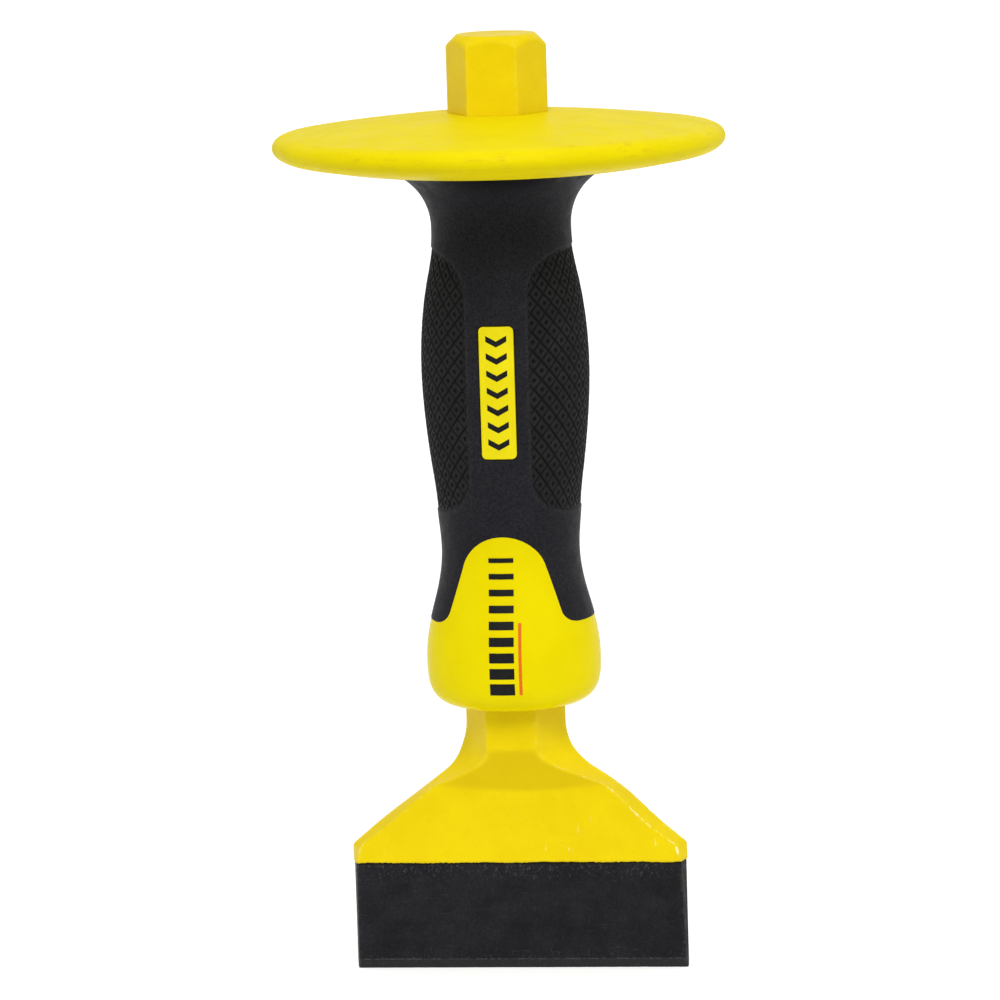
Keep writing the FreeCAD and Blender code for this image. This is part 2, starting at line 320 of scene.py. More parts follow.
def section(z):
    """(half width, half width of the flat face, half thickness) of the steel at a height."""
    width = flare_half(z) if z > SHOULDER else BLADE_HALF
    neck_face = FLAT_HALF * TAN_30
    thick = between(z, CREASE, CREASE_HALF_T, TIP_BEVEL, TIP_HALF_T)
    if z >= NECK_END:
        face = neck_face
        thick = FLAT_HALF
    elif z >= CREASE:
        share = (NECK_END - z) / (NECK_END - CREASE)
        face = neck_face + (CREASE_FACE_HALF - neck_face) * share**FACE_POWER
        thick = between(z, NECK_END, FLAT_HALF, CREASE, CREASE_HALF_T)
    elif z >= SHOULDER:
        crease_inset = flare_half(CREASE) - CREASE_FACE_HALF
        face = width - between(z, CREASE, crease_inset, SHOULDER, SHOULDER_INSET)
    elif z >= PAINT_END:
        face = width - between(z, SHOULDER, SHOULDER_INSET, PAINT_END, PAINT_END_INSET)
    elif z >= TIP_BEVEL:
        face = width - between(z, PAINT_END, PAINT_END_INSET, TIP_BEVEL, TIP_INSET)
    else:
        face = width - TIP_INSET
        thick = between(z, TIP_BEVEL, TIP_HALF_T, 0.0, EDGE_HALF_T)
    return np.array([width, face, thick])


def soft_section(z, grow, soft):
    """The section with its creases rounded over a short height, and its faces moved out."""
    reach = min(soft, max(z, 0.02))
    samples = [section(z + reach * step) for step in (-1, -0.6, -0.2, 0.2, 0.6, 1)]
    w, c, h = np.mean(samples, axis=0)
    return w + grow / COS_30, c + grow * TAN_30, h + grow


CORNER_SHARE = 0.42  # the most of a side that one rounded corner may take
EDGE_REACH = 0.5  # how far from a corner its wear and painted highlight go


def rounded_ring(w, c, h, radius, across, corner, side):
    """Points round a six-sided section with rounded corners, and how near each is to a corner."""
    corners = np.array([(c, -h), (w, 0), (c, h), (-c, h), (-w, 0), (-c, -h)])
    counts = [side, side, across, side, side, across]  # of the side that follows each corner
    arcs = []
    for k, p in enumerate(corners):
        to_last = corners[k - 1] - p
        to_next = corners[(k + 1) % 6] - p
        last, following = np.linalg.norm(to_last), np.linalg.norm(to_next)
        to_last, to_next = to_last / last, to_next / following
        half = math.acos(np.clip(to_last @ to_next, -1, 1)) / 2
        reach = min(radius / math.tan(half), CORNER_SHARE * last, CORNER_SHARE * following)
        centre = p + (to_last + to_next) / np.linalg.norm(to_last + to_next) * reach / math.cos(half)
        first = p + to_last * reach - centre
        final = p + to_next * reach - centre
        turn = math.pi - 2 * half
        for step in range(corner + 1):
            t = step / corner
            blend = (first * math.sin((1 - t) * turn) + final * math.sin(t * turn)) / math.sin(turn)
            arcs.append((k, centre + blend, 1 - abs(2 * t - 1) * 0.5))
    points, edges = [], []
    for k in range(6):
        own = [a for a in arcs if a[0] == k]
        following = [a for a in arcs if a[0] == (k + 1) % 6][0]
        for a in own:
            points.append(a[1])
            edges.append(a[2])
        for step in range(1, counts[k]):
            t = step / counts[k]
            points.append(own[-1][1] * (1 - t) + following[1] * t)
            gap = min(t, 1 - t) * np.linalg.norm(following[1] - own[-1][1])
            edges.append(0.5 * math.exp(-gap / EDGE_REACH))
    return np.array(points), np.array(edges)


def body_heights(low, high, steps):
    """Heights of a forging's rows: close together where the shape bends."""
    stops = [(low, steps[0]), (SHOULDER - 1.5, 0.45), (SHOULDER + 1.5, 1.0), (CREASE - 1.2, 0.3)]
    stops += [(CREASE + 1.2, 0.7), (NECK_END - 1.2, 0.3), (NECK_END + 1.2, 0.8)]
    stops += [(FLARE_TOP + 2, 1.2), (GRIP_BOTTOM + 3, 30.0), (GUARD_TOP - 3, steps[1])]
    stops = [s for s in stops if s[0] < high]
    heights = []
    for (start, step), (end, _) in zip(stops, stops[1:] + [(high, 0)]):
        start = max(start, low)
        if end <= start:
            continue
        count = max(1, round((end - start) / step))
        heights += [start + (end - start) * i / count for i in range(count)]
    return heights + [high]


def forging_rows(heights, grow, radius, counts):
    """Rings of the forging, how near each point is to an edge, and how much it is on the slope."""
    rows, edges, slopes = [], [], []
    for z in heights:
        rounding = TIP_ROUNDING + (1 - TIP_ROUNDING) * min(1.0, z / TIP_ROUNDING_REACH)
        w, c, h = soft_section(z, grow, CREASE_SOFT)
        ring, edge = rounded_ring(w, c, h, radius * rounding, *counts)
        out = np.abs(ring[:, 0])
        on_face = 1 - smoothstep(c - 1.6, c + 0.2, out)
        above_crease = smoothstep(CREASE - 0.7, CREASE + 1.1, z)
        below_neck = 1 - smoothstep(NECK_END - 1.5, NECK_END + 0.4, z)
        slopes.append(on_face * above_crease * below_neck)
        bow = np.where(out < c, (out / c) ** 2, (w - out) / (w - c)) * BOW
        ring[:, 0] += lean(z)
        level = z + bow * max(0.0, 1 - ((z - CREASE) / BOW_REACH) ** 2) ** 2
        rows.append(np.column_stack([ring, level]))
        edges.append(edge)
    return np.array(rows), np.array(edges), np.array(slopes)


def clip_head(rows, top, flat_r):
    """The 45 degree chamfer of the struck head, blended into the sides."""
    for row in rows:
        radius = np.hypot(row[:, 0], row[:, 1])
        limit = flat_r + top - row[:, 2]
        capped = radius - HEAD_SOFT * np.log1p(np.exp((radius - limit) / HEAD_SOFT))
        row[:, :2] *= (capped / radius)[:, None]
    return rows


DISH = 0.06  # how deep the struck face is hollowed by use
DENT = 0.05
DENT_SIZE = 1 / 0.35
CAP_RINGS = (0.97, 0.9, 0.78, 0.62, 0.44, 0.26, 0.1)  # shares of the struck face's outline


def head_cap(top, last_ring):
    """Rings from the rim of the struck face to its middle, slightly dished and dented."""
    rings = []
    for share in CAP_RINGS:
        ring = last_ring.copy()
        ring[:, :2] *= share
        inside = 1 - smoothstep(0.85, 1.0, share)
        dents = np.array([hash_noise(x / DENT_SIZE, y / DENT_SIZE, 4.0) for x, y in ring[:, :2]])
        ring[:, 2] = top - 0.02 + (DENT * dents - DISH * (1 - share**2)) * inside
        ring[:, 2] = np.minimum(ring[:, 2], top)
        rings.append(ring)
    return rings


# Heights of rows: up from the cutting edge, up from the coat's end and down from the head
TIP_ROWS = [0.0, 0.25, 0.5, 0.8, 1.2, 1.6, 1.9, 2.1, 2.3, 2.5, 2.8, 3.3, 4.0]
COAT_END_ROWS = [0.0, 0.12, 0.3, 0.55, 0.9, 1.3, 1.8, 2.4]
CHAMFER_ROWS = [4.5, 3.6, 3.0, 2.6, 2.3, 2.0, 1.7, 1.3, 0.9, 0.5, 0.25, 0.1, 0.0]
STEEL_GRID = (150, 4, 5)  # points across a face, round a corner and along a side
COAT_GRID = (236, 5, 6)
STEEL_CORNER_R = 0.45
COAT_CORNER_R = 0.5
COAT_INNER_R = 0.4
COAT_PLAY = 0.01  # between the coat's inside and the steel
STEEL_WAVE = 0.035  # how far the forged faces wander from flat
COAT_WAVE = 0.05
EDGE_WEAR = 0.09


def make_steel(material):
    """The bare forging: black where it comes out of the coat."""
    above_tip = TIP_ROWS[-1] + 0.4
    heights = TIP_ROWS + [z for z in body_heights(0.0, HEAD_TOP - PAINT, (0.9, 3.0)) if z > above_tip]
    rows, edges, _ = forging_rows(heights, 0.0, STEEL_CORNER_R, STEEL_GRID)
    wander = [STEEL_WAVE * hash_noise(p[0] * 0.09, p[2] * 0.13, p[1]) for p in rows.reshape(-1, 3)]
    rows[:, :, 1] += np.array(wander).reshape(rows.shape[:2]) * np.sign(rows[:, :, 1])
    rows = clip_head(rows, HEAD_TOP - PAINT, HEAD_FLAT_R)
    # a used edge is a little uneven
    lift = np.array([EDGE_WEAR * abs(hash_noise(x * 0.3, 7.0)) for x in rows[0][:, 0]])
    for k, share in enumerate((1.0, 0.6, 0.3)):
        rows[k][:, 2] += lift * share
    faces = capped_faces(len(rows), rows.shape[1])
    points = rows.reshape(-1, 3)
    piece = new_piece("blade_and_shank", points, faces, material, "black_steel", "chisel_forging")
    set_attribute(piece, "edge", edges.reshape(-1))


LINE_DRIFT = 0.16
LINE_TEETH = 0.15
LINE_WAVE = 0.05


def paint_line(x, front):
    """How far the coat's lower edge wanders from straight at a place along the blade."""
    drift = LINE_DRIFT * hash_noise(x * 0.11, front * 3.0, 1.0)
    teeth = LINE_TEETH * hash_noise(x * 1.7, front * 3.0, 2.0, 4)
    return drift + teeth + LINE_WAVE * math.sin(0.31 * x + front)


def make_coat(material):
    """The coat of paint: a thin closed shell round the forging, ragged at its lower end."""
    low = PAINT_END
    ragged_end = COAT_END_ROWS[-1]
    body = body_heights(low + ragged_end + 0.5, HEAD_TOP, (0.6, 3.0))
    heights = [low + up for up in COAT_END_ROWS]
    heights += [z for z in body if z < HEAD_TOP - CHAMFER_ROWS[0]]
    heights += [HEAD_TOP - down for down in CHAMFER_ROWS]
    outer, edges, slopes = forging_rows(heights, PAINT, COAT_CORNER_R, COAT_GRID)
    inner, _, _ = forging_rows(heights, COAT_PLAY, COAT_INNER_R, COAT_GRID)
    count = outer.shape[1]
    lift = np.array([paint_line(x, math.copysign(1, y)) for x, y in outer[0][:, :2]])
    for rows in (outer, inner):
        for k, z in enumerate(heights):
            share = 1 - smoothstep(0.0, ragged_end, z - low)
            rows[k][:, 2] += lift * share
    # the coat thins to nothing over its last fraction of a millimetre
    for k, share in enumerate((0.35, 0.85)):
        outer[k][:, :2] = inner[k][:, :2] + (outer[k][:, :2] - inner[k][:, :2]) * share
    wander = [COAT_WAVE * hash_noise(p[0] * 0.12, p[2] * 0.12, p[1] * 0.5) for p in outer.reshape(-1, 3)]
    fade = smoothstep(0.0, 3.0, np.repeat(np.array(heights) - low, count))
    wander = (np.array(wander) * fade).reshape(outer.shape[:2])
    outer[:, :, 1] += wander * np.sign(outer[:, :, 1])
    outer = clip_head(outer, HEAD_TOP, HEAD_FLAT_R)
    inner = clip_head(inner, HEAD_TOP, HEAD_FLAT_R - PAINT)
    inner[:, :, 2] = np.minimum(inner[:, :, 2], HEAD_TOP - PAINT)
    cap = head_cap(HEAD_TOP, outer[-1])
    rows = list(inner[::-1]) + list(outer) + cap
    faces = capped_faces(len(rows), count)
    piece = new_piece("yellow_coat", np.concatenate(rows), faces, material, "yellow_paint", "paint_coat")
    rim = np.zeros(len(cap) * count)
    set_attribute(piece, "edge", np.concatenate([edges[::-1].reshape(-1), edges.reshape(-1), rim]))
    set_attribute(piece, "slope", np.concatenate([slopes[::-1].reshape(-1), slopes.reshape(-1), rim]))


# ---------------------------------------------------------------- turned pieces


def hex_reach(angle):
    """Distance from the axis to the painted shank in a direction."""
    turn = (angle + math.pi / 6) % (math.pi / 3) - math.pi / 6
    # flats face +-Y, so a corner lies along X
    turn = math.pi / 6 - abs(turn)
    return (FLAT_HALF + PAINT) / math.cos(turn)


def turned_rows(profile, columns, hex_share=None):
    """Rings of a profile about the axis; rings with a share are pulled towards the hexagon."""
    rows = []
    for k, (r, z) in enumerate(profile):
        share = 0.0 if hex_share is None else hex_share[k]
        ring = []
        for j in range(columns):
            angle = 2 * math.pi * j / columns
            reach = r * (1 - share) + (hex_reach(angle) + r) * share
            ring.append((reach * math.cos(angle), reach * math.sin(angle), z))
        rows.append(ring)
    return np.array(rows)


GUARD_COLUMNS = 384
GUARD_WAVE = 0.05
GUARD_WORN_R = (44.0, 50.5)  # the rim's wear grows from the first to the second
GUARD_HOLE_R = 13.0  # inside this the dome gives way to the collar round the shank


def make_guard(material):
    """The domed disc, closed round the shank; the rings next to its crease lie close to it."""
    outline = [(GUARD_FLAT_R, GUARD_BOTTOM)] + GUARD_RIM + [GUARD_CREASE]
    rim = curve_through(outline, 46, (1, 0), GUARD_CREASE_WAY)
    crease_r, crease_z = GUARD_CREASE
    rim = np.insert(rim, len(rim) - 1, rim[-1] * 0.8 + rim[-2] * 0.2, axis=0)
    mid = (crease_r / 2, crease_z + DOME_MID_SHARE * (GUARD_TOP - crease_z))
    dome = arc_through(GUARD_CREASE, mid, (0.0, GUARD_TOP), 40)
    dome = dome[dome[:, 0] > GUARD_HOLE_R]
    dome = np.insert(dome, 1, dome[0] * 0.88 + dome[1] * 0.12, axis=0)
    join = dome[-1][1] + 0.12
    # distances from the hexagon itself, where the disc closes on the shank
    hole = [(0.9, join), (0.35, join), (0.08, join - 0.25), (0.05, join - 0.9)]
    hole += [(0.05, GUARD_BOTTOM + 0.4), (0.3, GUARD_BOTTOM)]
    profile = [tuple(p) for p in rim] + [tuple(p) for p in dome[1:]]
    shares = [0.0] * len(profile)
    profile += hole + [(20.0, GUARD_BOTTOM), (27.0, GUARD_BOTTOM)]
    shares += [1.0] * len(hole) + [0.0, 0.0]
    rows = turned_rows(profile, GUARD_COLUMNS, shares)
    for p in rows.reshape(-1, 3):
        share = smoothstep(GUARD_BOTTOM + 1, GUARD_BOTTOM + 5, p[2])
        p[2] += GUARD_WAVE * share * hash_noise(p[0] * 0.045, p[1] * 0.045, 9.0)
    faces = ring_faces(len(rows), GUARD_COLUMNS, closed_rows=True)
    piece = new_piece("hand_guard", rows.reshape(-1, 3), faces, material, "guard_yellow", "guard_disc")
    reach = np.hypot(rows[:, :, 0], rows[:, :, 1])
    wear = smoothstep(*GUARD_WORN_R, reach)
    set_attribute(piece, "edge", wear.reshape(-1))


# ---------------------------------------------------------------- the grip's surface

spline_width = clamped_spline([(z, w) for z, w, _ in GRIP_SIDE])
spline_depth = clamped_spline([(z, d) for z, _, d in GRIP_SIDE])
BULB_BOTTOM = curve_through([(GRIP_BOTTOM_R, GRIP_BOTTOM), BULB_CORNER, BULB_MAX], 160, (1, 0), (0, 1))


def with_bottom(side, z):
    """A side curve of the grip, carried on round the bulb's bottom below its widest place."""
    bottom = np.interp(z, BULB_BOTTOM[:, 1], BULB_BOTTOM[:, 0])
    return np.where(z < BULB_MAX[1], bottom, side(z))


def side_width(z):
    return with_bottom(spline_width, z)


def side_depth(z):
    return with_bottom(spline_depth, z)


def flare_out(z):
    """How far the grip stands out beyond its collar, under the guard."""
    rise = np.clip(z - FLARE_FILLET_FOOT, 0, FLARE_FILLET_R * 0.999)
    out = FLARE_FILLET_R - np.sqrt(FLARE_FILLET_R**2 - rise**2)
    return np.minimum(out, GRIP_FLARE_R - COLLAR_R)


def grip_radii(z):
    """Half width and half depth of the grip, with its flare under the guard."""
    flare = flare_out(z)
    return side_width(z) + flare, side_depth(z) + flare


def grip_point(turn, z, lift):
    """A point of the grip's surface moved out by lift; turn is 0 at the front and grows to +X."""
    w, d = grip_radii(z)
    x, y = w * np.sin(turn), -d * np.cos(turn)
    nx, ny = np.sin(turn) / w, -np.cos(turn) / d
    size = np.hypot(nx, ny)
    nx, ny = nx / size, ny / size
    step = 0.05
    slope = (grip_radii(z + step)[0] - grip_radii(z - step)[0]) / (2 * step)
    lift = lift / np.sqrt(1 + slope**2)
    return np.stack([x + nx * lift, y + ny * lift, z - slope * lift], axis=-1)


def turn_at(x, z):
    """The turn, on the front half, at which the surface lies x to the side."""
    return np.arcsin(np.clip(x / grip_radii(z)[0], -1, 1))


def rounded_box(x, z, low, high, r_low, r_high):
    """Signed distance to a rounded box from low to high, with its own radius at each end."""
    middle = (low + high) / 2
    radius = np.where(z < middle[1], r_low, r_high)
    qx = np.abs(x - middle[0]) - (high[0] - low[0]) / 2 + radius
    qz = np.abs(z - middle[1]) - (high[1] - low[1]) / 2 + radius
    outside = np.hypot(np.maximum(qx, 0), np.maximum(qz, 0))
    return outside + np.minimum(np.maximum(qx, qz), 0) - radius


def window_distance(x, z):
    """Signed distance to the nearer panel window, seen from the front; negative inside it."""
    low = np.array([PANEL_FRONT, PANEL_BOTTOM])
    high = np.array([PANEL_FRONT + FAR, PANEL_TOP])
    return rounded_box(np.abs(x), z, low, high, PANEL_LOWER_R, PANEL_UPPER_R)


def badge_distance(turn, z, margin):
    """Signed distance to the badge's outline, moved out by a margin."""
    x = grip_radii(z)[0] * np.sin(turn)
    low = np.array([BADGE_LOW[0], BADGE_LOW[2]]) - margin
    high = np.array([BADGE_HIGH[0], BADGE_HIGH[2]]) + margin
    flat = rounded_box(x, z, low, high, BADGE_CORNER_R + margin, BADGE_CORNER_R + margin)
    return np.where(np.cos(turn) > 0, flat, FAR)


def polyline_distance(x, z, line):
    """Distance from points to a polyline."""
    best = np.full(np.shape(x), 1e9)
    for (ax, az), (bx, bz) in zip(line, line[1:]):
        ux, uz = bx - ax, bz - az
        t = np.clip(((x - ax) * ux + (z - az) * uz) / (ux * ux + uz * uz), 0, 1)
        best = np.minimum(best, np.hypot(x - ax - t * ux, z - az - t * uz))
    return best


def arch_line():
    """The right half of the line where the overmould ends, from its top to its toe and on."""
    left_side = (-ARCH_SIDE[0], ARCH_SIDE[1])
    top = arc_through(left_side, ARCH_TOP, ARCH_SIDE, 65)[32:]
    bend = arc_through(ARCH_FOOT, ARCH_BEND, ARCH_TOE, 17)
    return np.array([*top, *bend, (FAR, ARCH_TOE[1])])


ARCH = arch_line()


def arch_distance(x, z):
    """Signed distance to the overmould's end line; negative above it, inside the overmould."""
    x = np.abs(x)
    gap = polyline_distance(x, z, ARCH)
    return np.where(z > np.interp(x, ARCH[:, 0], ARCH[:, 1]), -gap, gap)


# ---------------------------------------------------------------- patches of the grip


HALVINGS = 14  # steps of the search for the place where a field is zero
NEAREST_CUT = 0.02  # share of a grid step that a cut keeps from the grid's own points


def clip_grid(turns, heights, field, wraps):
    """The part of a grid where a field is negative, cut exactly along its edge.

    Returns the (turn, height) of each vertex, the faces, and the edges along the cut.
    """
    rows, columns = len(heights), len(turns)
    grid_t, grid_z = np.meshgrid(turns, heights)
    inside = field(grid_t, grid_z) < 0
    kept, keep_at, cuts = {}, [], {}

    def corner(i, j):
        key = (i, j % columns)
        if key not in kept:
            kept[key] = len(keep_at)
            keep_at.append(key)
        return kept[key]

    def crossing(a, b):
        first, second = (a, b) if a < b else (b, a)
        laps = first[1] // columns, second[1] // columns
        key = (first[0], first[1] % columns), (second[0], second[1] % columns)
        key += laps[0] - min(laps), laps[1] - min(laps)
        if key not in cuts:
            cuts[key] = -1 - len(cuts)
        return cuts[key]

    faces, borders = [], []
    last = columns if wraps else columns - 1
    for i in range(rows - 1):
        for j in range(last):
            cell = [(i, j), (i, j + 1), (i + 1, j + 1), (i + 1, j)]
            states = [inside[a, b % columns] for a, b in cell]
            if all(states):
                faces.append([corner(a, b) for a, b in cell])
                continue
            if not any(states):
                continue
            polygon, cut = [], []
            for k in range(4):
                if states[k]:
                    polygon.append(corner(*cell[k]))
                if states[k] != states[(k + 1) % 4]:
                    polygon.append(crossing(cell[k], cell[(k + 1) % 4]))
                    cut.append(polygon[-1])
            faces.append(polygon)
            if len(cut) == 2:
                borders.append(tuple(cut))
    points = np.array([(turns[j], heights[i]) for i, j in keep_at])
    ends = []
    for (i0, j0), (i1, j1), lap0, lap1 in cuts:
        lap = 2 * math.pi
        ends.append((turns[j0] + lap * lap0, heights[i0], turns[j1] + lap * lap1, heights[i1]))
    low, high = np.array(ends)[:, :2], np.array(ends)[:, 2:]
    start_inside = field(*low.T) < 0
    near, far = np.zeros(len(low)), np.ones(len(low))
    for _ in range(HALVINGS):
        middle = (near + far) / 2
        at = low + (high - low) * middle[:, None]
        same = (field(*at.T) < 0) == start_inside
        near = np.where(same, middle, near)
        far = np.where(same, far, middle)
    share = np.clip((near + far) / 2, NEAREST_CUT, 1 - NEAREST_CUT)[:, None]
    count = len(points)
    points = np.concatenate([points, low + (high - low) * share])
    index = lambda v: v if v >= 0 else count - 1 - v
    faces = [tuple(index(v) for v in face) for face in faces]
    return points, faces, [(index(a), index(b)) for a, b in borders]


def grid_edges(faces):
    """Directed edges that only one face uses."""
    seen = dict.fromkeys((a, b) for face in faces for a, b in zip(face, face[1:] + face[:1]))
    return [(a, b) for a, b in seen if (b, a) not in seen]


def field_slope(field, turn, z):
    """The field's slope per millimetre along the surface, sideways and up."""
    step = 0.01
    around = np.hypot(side_width(z) * np.cos(turn), side_depth(z) * np.sin(turn))
    reach = step / around
    sideways = (field(turn + reach, z) - field(turn - reach, z)) / (2 * step)
    up = (field(turn, z + step) - field(turn, z - step)) / (2 * step)
    return sideways, up, around


def patch(labels, field, grid, lift, lip, depth, wraps=False, tone=None):
    """A closed solid patch of the grip's skin where field is negative.

    The labels are its name, material, slot and node, and the grid is (turns, heights). Its surface
    stands at lift(turn, z), its edge is rounded by lip, and it is depth thick. The attribute "tone"
    takes its values from tone(turn, z).
    """
    inner_field = lambda t, z: field(t, z) + lip
    flat, faces, cut = clip_grid(*grid, inner_field, wraps)
    turn, z = flat.T
    skin = grip_point(turn, z, lift(turn, z))
    under = grip_point(turn, z, np.full(len(turn), -depth))
    count = len(flat)
    points = [skin, under]
    all_faces = list(faces) + [tuple(v + count for v in reversed(f)) for f in faces]
    edges = grid_edges(faces)
    cut_set = set(cut) | {(b, a) for a, b in cut}
    rim = sorted({v for e in edges for v in e})
    place = {v: k for k, v in enumerate(rim)}
    rim_turn, rim_z = turn[rim], z[rim]
    on_cut = np.zeros(len(rim), bool)
    for a, b in edges:
        if (a, b) in cut_set:
            on_cut[place[a]] = on_cut[place[b]] = True
    sideways, up, around = field_slope(field, rim_turn, rim_z)
    size = sideways**2 + up**2
    size = np.where(size < 0.2, 1.0, size)
    scale = np.where(on_cut, lip, 0.0) / size
    step_turn = np.where(on_cut, sideways * scale / around, 0.0)
    step_z = np.where(on_cut, up * scale, 0.0)
    top = lift(rim_turn, rim_z)
    rounds = [math.radians(a) for a in (22.5, 45, 67.5, 90)]
    for angle in rounds:
        out = math.sin(angle)
        down = lip * (1 - math.cos(angle))
        points.append(grip_point(rim_turn + step_turn * out, rim_z + step_z * out, top - down))
    points.append(grip_point(rim_turn + step_turn, rim_z + step_z, np.full(len(rim), -depth)))
    bases = [2 * count + k * len(rim) for k in range(len(rounds) + 1)]
    for a, b in edges:
        ring = [(a, b)]
        ring += [(base + place[a], base + place[b]) for base in bases]
        ring += [(count + a, count + b)]
        for (a0, b0), (a1, b1) in zip(ring, ring[1:]):
            all_faces.append((b0, a0, a1, b1))
    name, *rest = labels
    piece = new_piece(name, np.concatenate(points), all_faces, *rest)
    if tone:
        at_rim = tone(rim_turn, rim_z)
        parts = [tone(turn, z), np.zeros(count)] + [at_rim] * (len(rounds) + 1)
        set_attribute(piece, "tone", np.concatenate(parts))


CORE_COLUMNS = 300
CORE_INSET = 0.1  # how far the core lies under the skin beside it
CORE_PLAY = 0.03  # between the core and the shank
CORE_OVERLAP = 2.5  # how far the bulb goes on above the skin's arch
SLEEVE_END = SKIN_HIGH[2] - 0.3


def make_core(material):
    """The rigid yellow moulding: the bulb, and the sleeve under the overmould."""
    bottom = [tuple(p) for p in BULB_BOTTOM[::4]] + [BULB_MAX]
    heights = np.linspace(BULB_MAX[1], ARCH_TOP[1] + CORE_OVERLAP, 90)[1:]
    side = [(side_width(z) - CORE_INSET * smoothstep(74, 82, z), z) for z in heights]
    sleeve = [(SLEEVE_R, heights[-1] + 0.5), (SLEEVE_R, SLEEVE_END)]
    outside = bottom + side + sleeve
    # distances from the hexagon itself
    foot = [(CORE_PLAY, GRIP_BOTTOM + 1.2), (CORE_PLAY, GRIP_BOTTOM + 0.3), (0.3, GRIP_BOTTOM)]
    head = [(CORE_PLAY, SLEEVE_END)]
    shares = [1.0] * len(foot) + [0.0] * len(outside) + [1.0] * len(head)
    rows = turned_rows(foot + outside + head, CORE_COLUMNS, shares)
    faces = ring_faces(len(rows), CORE_COLUMNS, closed_rows=True)
    new_piece("yellow_core", rows.reshape(-1, 3), faces, material, "core_yellow", "grip_core")


SKIN_DEPTH = 1.2
SKIN_LIP = 0.28
PLAY = 0.12  # between the skin and what is let into it
LIP_SHINE = 0.8  # how far the painted highlight on the windows' lips reaches
SKIN_GRID = (330, 215, 40)  # points round, up the windows and above them


def make_overmould(material):
    """The soft black skin, with its windows, its opening for the badge and its arched end."""

    def field(turn, z):
        x = side_width(z) * np.sin(turn)
        openings = np.minimum(window_distance(x, z), badge_distance(turn, z, PLAY))
        return np.maximum(-openings, arch_distance(x, z))

    def lip_highlight(turn, z):
        x = side_width(z) * np.sin(turn)
        return np.exp(-((window_distance(x, z) / LIP_SHINE) ** 2))

    turns = np.linspace(0, 2 * math.pi, SKIN_GRID[0], endpoint=False) - math.pi
    low, neck = ARCH_TOE[1] - 0.5, PANEL_TOP + 2
    below = np.linspace(low, neck, SKIN_GRID[1], endpoint=False)
    above = np.linspace(neck, SKIN_HIGH[2] - 0.02, SKIN_GRID[2])
    flat = lambda turn, z: np.zeros(np.shape(turn))
    grid = (turns, np.concatenate([below, above]))
    labels = ("soft_grip", material, "soft_black", "grip_overmould")
    patch(labels, field, grid, flat, SKIN_LIP, SKIN_DEPTH, wraps=True, tone=lip_highlight)


DIAMOND_W = 3.6
DIAMOND_H = 4.36
PANEL_MEAN_R = 17.6
GROOVE_HALF_W = 0.23
GROOVE_DEPTH = 0.42
PIT_R = 0.62
PIT_DEPTH = 0.3
PIT_FLOOR_R = 0.25
PANEL_STEP = 0.22  # how far the panels lie under the skin round them
PANEL_LIP = 0.1
PANEL_SPREAD = math.radians(68)
PANEL_GRID = (260, 360)
PANEL_SPARE = 0.6  # how far the grid goes past the panel's ends


def panel_pattern(turn, z, side):
    """The diamond pattern: how much of a groove and how much of a pit there is at a place."""
    along = (turn - side * math.pi / 2) * PANEL_MEAN_R
    p = along / DIAMOND_W + (z - PANEL_BOTTOM) / DIAMOND_H
    q = along / DIAMOND_W - (z - PANEL_BOTTOM) / DIAMOND_H
    across = DIAMOND_W * DIAMOND_H / math.hypot(DIAMOND_W, DIAMOND_H)
    lp, lq = p - np.floor(p) - 0.5, q - np.floor(q) - 0.5
    edge = (0.5 - np.maximum(np.abs(lp), np.abs(lq))) * across
    centre = np.hypot((lp + lq) / 2 * DIAMOND_W, (lp - lq) / 2 * DIAMOND_H * 0.8)
    groove = np.exp(-((edge / GROOVE_HALF_W) ** 2))
    pit = 1 - smoothstep(PIT_FLOOR_R, PIT_R, centre)
    return groove, pit


def make_panel(side, material):
    """A textured side panel; side is 1 for +X and -1 for -X."""

    def field(turn, z):
        x = side_width(z) * np.sin(turn) * side
        return np.where(x > 0, window_distance(x, z) - PLAY, FAR)

    def lift(turn, z):
        x = side_width(z) * np.sin(turn)
        inside = -window_distance(x, z)
        groove, pit = panel_pattern(turn, z, side)
        cut = (GROOVE_DEPTH * groove + PIT_DEPTH * pit) * smoothstep(0.3, 0.9, inside)
        return -PANEL_STEP - cut

    # 1 on the ridges, 0 in the grooves and pits, which the rubber darkens with dirt and painted shade
    def tone(turn, z):
        groove, pit = panel_pattern(turn, z, side)
        return 1 - np.clip(groove + pit, 0, 1)

    turns = side * math.pi / 2 + np.linspace(-PANEL_SPREAD, PANEL_SPREAD, PANEL_GRID[0])
    heights = np.linspace(PANEL_BOTTOM - PANEL_SPARE, PANEL_TOP + PANEL_SPARE, PANEL_GRID[1])
    name = "panel_right" if side > 0 else "panel_left"
    labels = (name, material, "textured_black", "grip_" + name)
    patch(labels, field, (turns, heights), lift, PANEL_LIP, SKIN_DEPTH, tone=tone)


BADGE_DEPTH = 0.7
BADGE_LIP = 0.18
BADGE_SINK = 0.06
BADGE_PLAY = 0.08
BADGE_GRID = (50, 130)
BADGE_GRIP_R = 16.0  # of the grip beside the badge
BADGE_SPARE = 0.2


def make_badge(material):
    """The label plate, just under the skin round it."""
    field = lambda turn, z: badge_distance(turn, z, -BADGE_PLAY)
    spread = math.asin(BADGE_HIGH[0] / BADGE_GRIP_R) + 0.02
    turns = np.linspace(-spread, spread, BADGE_GRID[0])
    heights = np.linspace(BADGE_LOW[2] - BADGE_SPARE, BADGE_HIGH[2] + BADGE_SPARE, BADGE_GRID[1])
    sunk = lambda turn, z: np.full(np.shape(turn), -BADGE_SINK)
    labels = ("badge", material, "badge_yellow", "badge_plate")
    patch(labels, field, (turns, heights), sunk, BADGE_LIP, BADGE_DEPTH)


